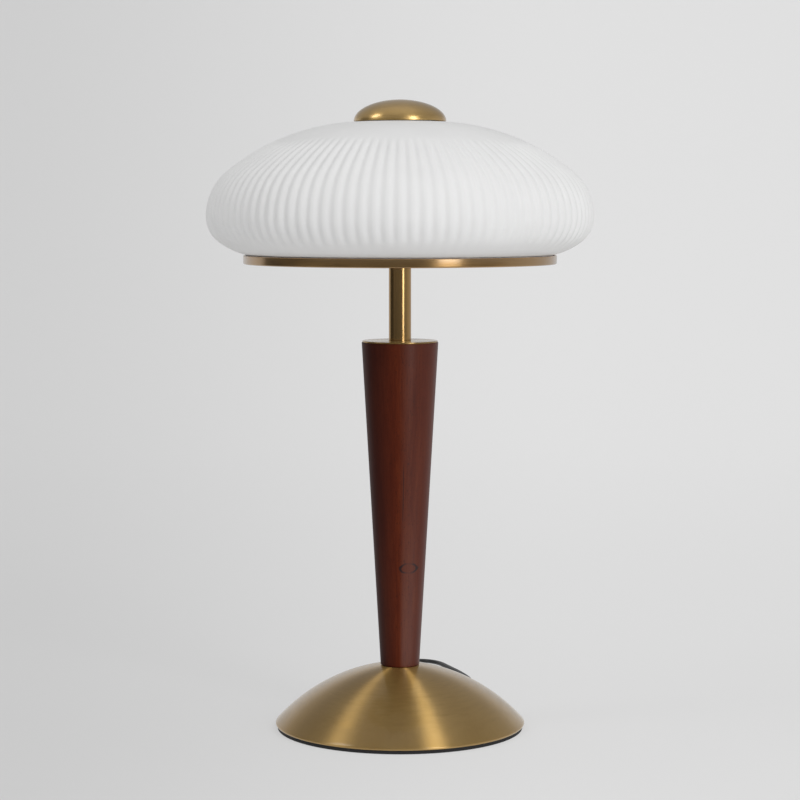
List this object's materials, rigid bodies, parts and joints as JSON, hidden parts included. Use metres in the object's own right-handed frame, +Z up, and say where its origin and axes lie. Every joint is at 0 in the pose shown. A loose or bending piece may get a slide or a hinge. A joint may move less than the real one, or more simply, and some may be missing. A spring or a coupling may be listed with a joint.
{
  "type": "mushroom table lamp",
  "caption": "Table lamp with a wide fluted opal glass shade on a spun metal ring, a tapered turned wood column and a domed round foot, with cord, inline switch and plug.",
  "frame": {"origin": "centre of the round foot's underside, on the table", "axes": "+Z up along the stem; +Y to the back, where the cord leaves, off to the right; -Y is the side the picture shows; +X to the right seen from the front"},
  "size_m": [0.3, 0.4115, 0.4907],
  "materials": {
    "spun_brass": "spun and fine brushed, clear lacquer",
    "polished_brass": "polished, clear lacquer",
    "plain_brass": "satin",
    "black_foam_rubber": "matte, fine grained",
    "black_sheet_steel": "matte black",
    "cast_iron_weight": "as cast, sprayed grey",
    "zinc_steel": "zinc plated",
    "lacquered_mahogany": "turned, stained and satin lacquered",
    "opal_shade_glass": "matte white opal, fluted outside",
    "clear_soft_vinyl": "soft, milky clear",
    "black_phenolic": "moulded, semi-gloss",
    "bulb_solder": "dull tin solder",
    "nickel_cap": "nickel plated",
    "white_bulb_plastic": "smooth moulded",
    "opal_bulb_glass": "satin opal",
    "black_cord_vinyl": "smooth, slightly satin",
    "lead_silicone": "smooth",
    "black_tie": "ribbed strap",
    "black_switch_plastic": "fine satin grain",
    "rocker_plastic": "smooth",
    "black_plug_vinyl": "moulded, fine grain",
    "plug_blade_brass": "tinned brass"
  },
  "bodies": {
    "stand": {"base_lock_washer": "zinc_steel", "base_nut": "zinc_steel", "base_shell": "spun_brass", "base_washer": "zinc_steel", "base_weight": "cast_iron_weight", "bottom_cover": "black_sheet_steel", "cluster_body": "plain_brass", "cluster_cover": "plain_brass", "column_cap": "spun_brass", "cord_coil": "black_cord_vinyl", "cord_gland": "black_cord_vinyl", "cord_lamp_side": "black_cord_vinyl", "cord_plug_side": "black_cord_vinyl", "cord_switch_side": "black_cord_vinyl", "cord_tie": "black_tie", "foot_pad": "black_foam_rubber", "holder_contact_left": "plain_brass", "holder_contact_right": "plain_brass", "holder_leads": "lead_silicone", "holder_nipples": "zinc_steel", "holder_shell_left": "plain_brass", "holder_shell_right": "plain_brass", "lampholder_left": "black_phenolic", "lampholder_right": "black_phenolic", "lead_in_stem": "black_cord_vinyl", "plug_blades": "plug_blade_brass", "plug_body": "black_plug_vinyl", "ring_gasket": "clear_soft_vinyl", "rod_nut": "zinc_steel", "shade_ring": "spun_brass", "shade_spider": "plain_brass", "spider_nut": "zinc_steel", "spider_washer": "zinc_steel", "stem_tube": "polished_brass", "switch_case_lower": "black_switch_plastic", "switch_case_upper": "black_switch_plastic", "switch_contacts": "plain_brass", "switch_screws": "zinc_steel", "threaded_pipe": "zinc_steel", "top_rod": "zinc_steel", "weight_screws": "zinc_steel", "wood_column": "lacquered_mahogany"},
    "shade": {"glass_shade": "opal_shade_glass"},
    "finial_washer": {"finial_gasket": "clear_soft_vinyl"},
    "finial": {"finial_dome": "spun_brass", "finial_nut": "plain_brass"},
    "bulb_tip_left": {"bulb_contact_left": "bulb_solder"},
    "bulb_left": {"bulb_cap_left": "nickel_cap", "bulb_base_left": "white_bulb_plastic", "bulb_globe_left": "opal_bulb_glass"},
    "bulb_tip_right": {"bulb_contact_right": "bulb_solder"},
    "bulb_right": {"bulb_cap_right": "nickel_cap", "bulb_base_right": "white_bulb_plastic", "bulb_globe_right": "opal_bulb_glass"},
    "rocker": {"switch_rocker": "rocker_plastic"}
  },
  "joints": [
    {"name": "shade_lift", "type": "slide", "parent": "stand", "child": "shade", "axis": [0, 0, 1], "range_m": [0, 0.12]},
    {"name": "finial_rise", "type": "slide", "parent": "shade", "child": "finial_washer", "axis": [0, 0, 1], "range_m": [0, 0.0081]},
    {"name": "finial_turn", "type": "hinge", "parent": "finial_washer", "child": "finial", "pos_m": [0, 0, 0.475], "axis": [0, 0, 1], "range_deg": [0, 2880]},
    {"name": "bulb_left_out", "type": "slide", "parent": "stand", "child": "bulb_tip_left", "axis": [-1, 0, 0], "range_m": [0, 0.01411]},
    {"name": "bulb_left_turn", "type": "hinge", "parent": "bulb_tip_left", "child": "bulb_left", "pos_m": [-0.05, 0, 0.3958], "axis": [-1, 0, 0], "range_deg": [0, 1800]},
    {"name": "bulb_right_out", "type": "slide", "parent": "stand", "child": "bulb_tip_right", "axis": [1, 0, 0], "range_m": [0, 0.01411]},
    {"name": "bulb_right_turn", "type": "hinge", "parent": "bulb_tip_right", "child": "bulb_right", "pos_m": [0.05, 0, 0.3958], "axis": [1, 0, 0], "range_deg": [0, 1800]},
    {"name": "switch_rock", "type": "hinge", "parent": "stand", "child": "rocker", "pos_m": [-0.006, 0.1115, 0.0108], "axis": [0, 1, 0], "range_deg": [-16, 0]}
  ],
  "couplings": [
    {"joint": "finial_rise", "follows": "finial_turn", "m_per_rad": 0.00015915},
    {"joint": "bulb_left_turn", "follows": "bulb_left_out", "rad_per_m": 2226.5},
    {"joint": "bulb_right_turn", "follows": "bulb_right_out", "rad_per_m": 2226.5}
  ]
}
